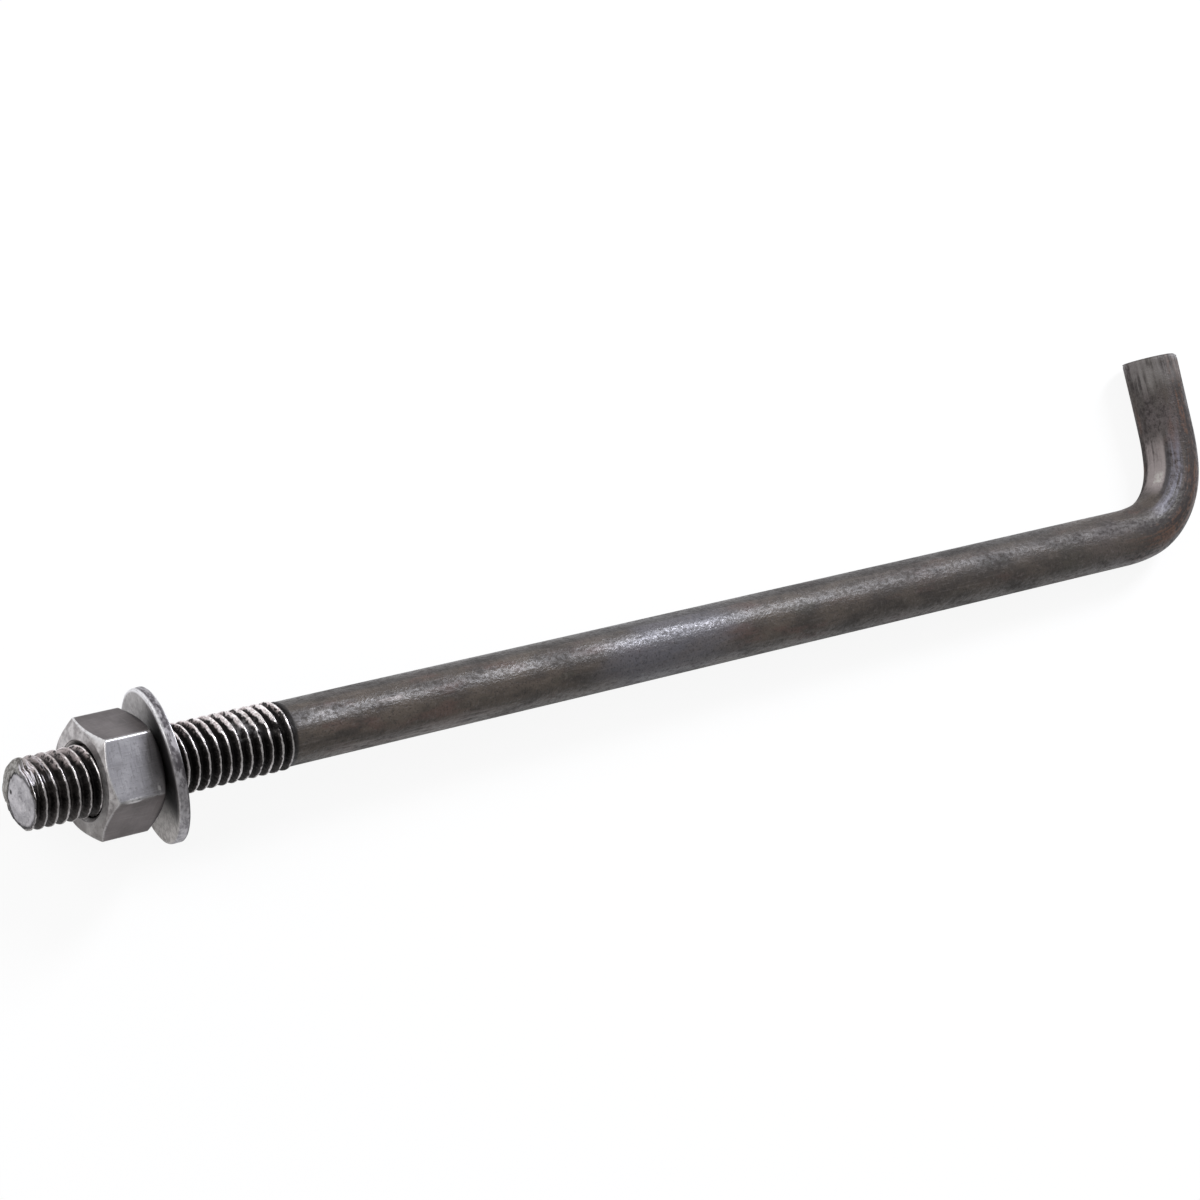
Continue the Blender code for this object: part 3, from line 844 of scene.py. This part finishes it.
def thread_colour(f, p):
    """An oily black thread with bright worn crests, wider and paler on the upper side as a painted
    highlight, grey brushed streaks behind the washer that also paint a sheen, and fine bright
    marks at the cut end. The share of bare crest comes with it."""
    # The upper side, where the crests are painted paler as highlight
    lit_top = p.turned.band(-0.15, 0.27, 0.09)
    rubbed_tops = p.along.between(0.024, 0.029) * (1 - p.along.between(0.0365, 0.0385))
    rubbed_tops = rubbed_tops * p.turned.band(0.10, 0.33, 0.06)
    ragged = (p.fleck - 0.5) * (0.25 + lit_top * 0.5) + (p.chatter - 0.5) * 0.3
    widened = lit_top * 0.06 + rubbed_tops * (0.10 + p.blotch * 0.35)
    crest = p.height + ragged + widened
    crest = crest.between(0.87, 0.98) * (1 - rubbed_tops) + crest.between(0.78, 1.04) * rubbed_tops
    groove = f.mix(p.height.between(0.45, 1.0), (0.013, 0.012, 0.012), (0.044, 0.040, 0.039))
    wear_and_glint = f.mix(lit_top, (0.58, 0.55, 0.545), (1.0, 0.95, 0.94))
    thread = f.mix(crest, groove, wear_and_glint)

    # Light patches on the upper side: partly rubbed, partly painted highlight
    lit_top_patches = lit_top * p.height.between(0.30, 0.80) * p.fleck.between(0.44, 0.58)
    thread = f.mix(lit_top_patches * 0.75, thread, (0.55, 0.47, 0.46))
    # The same before the nut, paler still
    outer = 1 - p.along.between(NUT_FRONT - 2 * MM, NUT_FRONT)
    lit_outer_top = outer * lit_top * p.height.between(0.12, 0.65) * p.fleck.between(0.38, 0.55)
    thread = f.mix(lit_outer_top * 0.8, thread, (0.64, 0.56, 0.55))
    outer_stain = outer * (p.blotch * 0.5 + p.fleck * 0.5).between(0.40, 0.60)
    thread = f.mix(outer_stain * 0.5, thread, (0.075, 0.066, 0.063))
    dust = p.height.between(0.05, 0.6) * p.grain.between(0.5, 0.66)
    thread = f.mix(dust * 0.4, thread, (0.09, 0.08, 0.076))

    # Grey brushed streaks in the grooves that also paint a sheen
    brushed_and_sheen = p.along.between(0.0300, 0.0315) * (1 - p.along.between(0.0336, 0.0350))
    brushed_and_sheen = brushed_and_sheen * p.turned.band(0.26, 0.44, 0.06)
    brushed_and_sheen = brushed_and_sheen * (p.chatter * 0.5 + p.streak * 0.5).between(0.42, 0.60)
    thread = f.mix(brushed_and_sheen * 0.55, thread, (0.27, 0.26, 0.265))
    by_end = (1 - p.along.between(0.0022, 0.0034)) * p.turned.band(0.12, 0.40, 0.05)
    thread = f.mix(by_end * p.fine.between(0.50, 0.58) * 0.85, thread, (0.86, 0.83, 0.88))
    nick = f.near(p.straight, THREAD_NICK, THREAD_NICK_REACH)
    return f.mix(nick, thread, (0.012, 0.011, 0.011)), crest


def ends_colour(f, p, colour):
    """Bare grey on the cut face, with its lip, its dark seam and its pit, and on the sheared tip."""
    lip = f.mix(p.fleck.between(0.4, 0.65), (0.16, 0.152, 0.14), (0.38, 0.365, 0.345))
    colour = f.mix(p.lip * 0.9, colour, lip)
    bare = f.mix(p.blotch.between(0.35, 0.65), (0.31, 0.30, 0.315), (0.48, 0.462, 0.48))
    bare = f.mix(p.fleck.between(0.54, 0.68) * 0.6, bare, (0.56, 0.54, 0.54))
    bare = f.mix((1 - p.fleck.between(0.32, 0.42)) * 0.5, bare, (0.14, 0.13, 0.13))
    colour = f.mix(p.cut_end, colour, bare)
    colour = f.mix((p.seam * 1.3).held(), colour, (0.012, 0.011, 0.011))
    pit = f.near(f.stretched(p.straight, (0, 1, 1)), (0, *PIT), PIT_REACH)
    colour = f.mix(pit * p.cut_end, colour, (0.015, 0.014, 0.014))
    sheared = f.mix(p.streak.between(0.4, 0.6), (0.10, 0.092, 0.088), (0.20, 0.19, 0.187))
    return f.mix(p.sheared, colour, sheared)


def rod_finish():
    """Hot-rolled bar in its mill scale, with an oily rolled thread and two bare ends."""
    f = Finish("mill_scale_rod")
    p = RodPatterns(f)
    thread, crest = thread_colour(f, p)
    colour = f.mix(p.threaded, hook_scale(f, p, shank_scale(f, p)), thread)
    runout = p.along.band(THREAD_LENGTH - 0.55 * MM, THREAD_LENGTH + 0.05 * MM, 0.35 * MM)
    colour = f.mix(runout * (0.55 + p.fleck * 0.5).held(), colour, (0.010, 0.009, 0.009))
    colour = ends_colour(f, p, colour)

    ends = (p.cut_end * 0.6 + p.lip * 0.5).held()
    metal = (p.threaded * 0.95 + ends + p.flakes_and_highlight * 0.20 * (1 - p.threaded)).held()
    dull = (1 - p.fleck.between(0.36, 0.54)) * 0.7 + (1 - p.blotch.between(0.36, 0.54)) * 0.6
    rough = 0.33 + p.far * 0.10 - p.cloud.between(0.45, 0.75) * 0.05 + dull * 0.26 - p.flakes_and_highlight * 0.06
    rough = rough * (1 - p.threaded) + p.threaded * (0.46 - crest * 0.16)
    rough = (rough + ends * 0.12).held(0.2, 0.9)
    relief = p.fleck * (1.15 - p.middle * p.highlight_band * 0.85) + p.grain * 0.6
    relief = relief + p.streak * 0.35 + p.blotch * 0.6 + p.chatter * 0.3
    relief = relief + p.hatch * (0.2 + p.rubbed * 0.3)
    relief = relief * (1 - p.near_thread * p.highlight_band * 0.65)
    normal = f.bump(relief * (1 - p.threaded * 0.6), 0.8, 0.09 * MM)
    return f.shader(
        Base_Color=colour, Roughness=rough, Metallic=metal, Normal=normal, Specular_IOR_Level=0.34
    )


def nut_finish():
    """Machined steel: fine marks along the sides, lighter turned chamfers that are darker towards the
    bottom and the back, bright edges that are partly wear and partly painted highlight, and sides
    that differ by a brown stain and by painted shade. The rear edge is painted dark as the shadow
    next to the washer, and the tapped hole is dark."""
    f = Finish("machined_nut")
    local = f.attribute("local", "Vector")
    flats, tapped, edge, stain = map(f.attribute, ("flats", "tapped", "edge", "stain"))
    depth, across, forward = f.parts(local)
    marks = f.noise(local, (300, 5200, 5200))
    cross = f.noise(local, (3800, 260, 260), detail=2.0)
    cloud = f.noise(local, (230, 230, 230), detail=4.0)
    fleck = f.noise(local, (2400, 2400, 2400), detail=2.0)
    patch = f.noise(local, (300, 520, 520), (5, 2, 0), 4.0, 0.6)

    turned = f.mix(patch.between(0.38, 0.62), (0.30, 0.28, 0.277), (0.58, 0.556, 0.548))
    # The turned faces are darker towards the bottom and the back
    darker_low_and_back = (0 - across).between(1 * MM, 6 * MM) + (0 - forward).between(1 * MM, 6 * MM)
    darker_low_and_back = darker_low_and_back.held() * cloud.between(0.22, 0.55)
    turned = f.mix(darker_low_and_back * 0.7, turned, (0.20, 0.185, 0.18))
    clean = f.mix(cloud.between(0.35, 0.7), (0.29, 0.284, 0.30), (0.42, 0.413, 0.43))
    brown = f.mix(cloud.between(0.35, 0.7), (0.090, 0.078, 0.076), (0.145, 0.127, 0.125))
    # Each side has its own share of brown stain and painted shade
    colour = f.mix(flats, turned, f.mix(stain, clean, brown))

    marked = f.mix(stain, (0.50, 0.49, 0.50), (0.22, 0.20, 0.20))
    colour = f.mix(marks.between(0.52, 0.75) * 0.30, colour, marked)
    crossed = f.mix(stain, (0.48, 0.47, 0.49), (0.18, 0.165, 0.16))
    colour = f.mix(cross.between(0.55, 0.75) * flats * 0.35, colour, crossed)
    colour = f.mix((1 - cross.between(0.28, 0.42)) * flats * 0.35, colour, (0.09, 0.085, 0.09))
    colour = f.mix(fleck.between(0.54, 0.70) * 0.4, colour, (0.13, 0.12, 0.12))
    patched = flats * (1 - stain) * patch.between(0.50, 0.66)
    colour = f.mix(patched * 0.35, colour, (0.17, 0.165, 0.17))
    # Bright edges: partly wear, partly painted highlight
    colour = f.mix(edge * fleck.between(0.25, 0.5) * 0.85, colour, (0.72, 0.71, 0.71))
    for squeeze, place, reach in NUT_NICKS:
        squeezed = [part * factor for part, factor in zip(place, squeeze)]
        nick = f.near(f.stretched(local, squeeze), squeezed, reach)
        nick = nick * (marks * 0.5 + fleck * 0.5).between(0.38, 0.56)
        colour = f.mix(nick * 0.6, colour, (0.74, 0.73, 0.73))
    # A painted shadow along the rear edge, next to the washer
    rear_shadow = depth.between(NUT_HEIGHT - 0.9 * MM, NUT_HEIGHT - 0.35 * MM)
    colour = f.mix(rear_shadow * 0.8, colour, (0.035, 0.032, 0.034))
    colour = f.mix(tapped, colour, (0.012, 0.011, 0.010))

    rough = (0.42 + fleck * 0.08 - marks.between(0.5, 0.8) * 0.06 - edge * 0.12).held(0.2, 0.9)
    relief = marks * flats * 0.6 + cross * 0.25 + fleck * 0.3 + cloud * 0.4
    normal = f.bump(relief, 0.55, 0.03 * MM)
    return f.shader(Base_Color=colour, Roughness=rough, Metallic=0.95, Normal=normal)


def washer_finish():
    """Stamped steel, tumbled: a fine even mottle on the faces, a painted shadow with soot beside the
    nut and painted light on the lower part of the face, a chipped dark rim with painted light
    below and a dark line along its lower rear edge, and a bright worn edge towards the nut that,
    like the rim's upper rear edge, is a painted highlight on its upper part."""
    f = Finish("stamped_washer")
    local = f.attribute("local", "Vector")
    rim, edge, bore, soot, lower = map(f.attribute, ("rim", "edge", "bore", "soot", "lower"))
    across = f.parts(local)[1]
    cloud = f.noise(local, (170, 170, 170), detail=4.0)
    fleck = f.noise(local, (2600, 1500, 1500))
    chips = f.noise(local, (1500, 700, 700), detail=4.0, roughness=0.7)

    colour = f.mix(cloud.between(0.35, 0.7), (0.30, 0.286, 0.282), (0.42, 0.403, 0.398))
    colour = f.mix(fleck.between(0.46, 0.68) * 0.55, colour, (0.21, 0.195, 0.19))
    colour = f.mix((1 - fleck.between(0.30, 0.44)) * 0.5, colour, (0.55, 0.53, 0.52))
    # Painted light on the lower part of the face
    pale = f.mix(fleck.between(0.36, 0.62), (0.46, 0.435, 0.42), (0.80, 0.77, 0.75))
    colour = f.mix((0 - across).between(3 * MM, 8 * MM) * 0.75, colour, pale)
    colour = f.mix((1 - chips.between(0.34, 0.46)) * 0.5, colour, (0.20, 0.185, 0.18))

    side = f.mix(chips.between(0.42, 0.64), (0.080, 0.073, 0.080), (0.40, 0.385, 0.40))
    # Painted light on the lower part of the rim
    lit_lower_rim = f.mix(fleck.between(0.4, 0.6), (0.26, 0.25, 0.262), (0.48, 0.465, 0.48))
    side = f.mix(lower * 0.7, side, lit_lower_rim)
    colour = f.mix(rim * 0.95, colour, side)
    # The nut's painted shadow with soot, and the dark line on the lower rear edge
    colour = f.mix(soot * (0.85 + cloud * 0.3).held(), colour, (0.020, 0.018, 0.020))
    # Bright edges: worn, and painted highlight
    colour = f.mix(edge * fleck.between(0.2, 0.5), colour, (0.80, 0.79, 0.80))
    colour = f.mix(bore, colour, (0.05, 0.045, 0.044))

    rough = (0.46 + fleck * 0.12 - edge * 0.16).held(0.2, 0.9)
    normal = f.bump(fleck * 0.6 + cloud * 0.5 + chips * rim * 0.5, 0.5, 0.03 * MM)
    return f.shader(Base_Color=colour, Roughness=rough, Metallic=0.95, Normal=normal)


def floor_finish():
    """Plain white: to the camera and in reflections it is the picture's white ground, a little
    darker where the object shades it, and to all other light it is plain pale paint."""
    f = Finish("white_floor")
    seen = f.node("ShaderNodeLightPath", {}, out="Is Camera Ray")
    mirrored = f.node("ShaderNodeLightPath", {}, out="Is Glossy Ray")
    paint = f.node("ShaderNodeBsdfDiffuse", {}, (0.88, 0.88, 0.88, 1))
    glow = f.node("ShaderNodeEmission", {}, (1, 1, 1, 1), 1.0)
    share = (seen * 0.90 + mirrored * 0.20).held()
    return f.wear(f.node("ShaderNodeMixShader", {}, share, paint, glow))


def make_floor():
    """A wide sheet under the bolt, as a grid of four points."""
    far = FLOOR_REACH
    mesh = bpy.data.meshes.new("floor")
    corners = [(-far, -far, 0), (far, -far, 0), (far, far, 0), (-far, far, 0)]
    mesh.from_pydata(corners, [], [(0, 1, 2, 3)])
    mesh.materials.append(floor_finish())
    made = bpy.data.objects.new("floor", mesh)
    bpy.context.scene.collection.objects.link(made)


def place_in_bolt_frame(thing, spot, right, up, back):
    """Stands a camera or a lamp at a spot, looking against its back direction."""
    turned = np.array((right, up, back)) @ AXES
    matrix = Matrix(turned.T.tolist()).to_4x4()
    matrix.translation = lay(spot).tolist()
    thing.matrix_world = matrix
    bpy.context.scene.collection.objects.link(thing)


def make_camera():
    """The photograph's own view: from over the threaded end, with the hook's leg up the picture."""
    data = bpy.data.cameras.new("camera")
    data.sensor_width = 36
    data.lens = 105.8985
    data.clip_start, data.clip_end = 0.01, 10
    camera = bpy.data.objects.new("camera", data)
    right = (0.7896856, -0.232899, 0.5675868)
    down = np.array((-0.1740055, -0.9721776, -0.1568212))
    forward = np.array((0.5883186, 0.0250762, -0.8082403))
    place_in_bolt_frame(camera, (-0.1978387, -0.0042019, 0.4024578), right, -down, -forward)
    bpy.context.scene.camera = camera


def make_lamp(name, toward, distance, size, watts, colour=(1, 1, 1), about=(0.1, 0.005, 0)):
    """A soft rectangular lamp that stands off in a direction of the bolt frame and faces the bolt."""
    data = bpy.data.lights.new(name, "AREA")
    data.shape = "RECTANGLE"
    data.size, data.size_y = size
    data.energy = watts
    data.color = colour
    back = unit(np.array(toward))
    right = unit(np.cross((0, 1, 0), back))
    up = np.cross(back, right)
    lamp = bpy.data.objects.new(name, data)
    place_in_bolt_frame(lamp, np.array(about) + back * distance, right, up, back)


def make_light():
    """Even white light from all round, a cool key lamp over the hook's side, a front lamp for the
    cut end and the nut, and a weak low one for the thread's tops."""
    world = bpy.data.worlds.new("studio")
    world.use_nodes = True
    world.node_tree.nodes["Background"].inputs["Color"].default_value = (1, 1, 1, 1)
    world.node_tree.nodes["Background"].inputs["Strength"].default_value = 0.43
    bpy.context.scene.world = world
    make_lamp("key", (0.56, 0.545, 0.62), 0.7, (0.34, 0.16), 5.4, (0.90, 0.92, 1.0))
    make_lamp("front", (-0.75, 0.35, 0.55), 0.9, (0.4, 0.4), 3.0)
    make_lamp("low", (-0.22, 0.96, 0.08), 0.6, (0.34, 0.2), 0.55, about=(0.013, 0, 0))


make_camera()
make_light()
make_floor()
make_rod(rod_finish())
make_nut(nut_finish())
make_washer(washer_finish())

bpy.context.scene.view_settings.view_transform = "Standard"
bpy.context.view_layer.update()
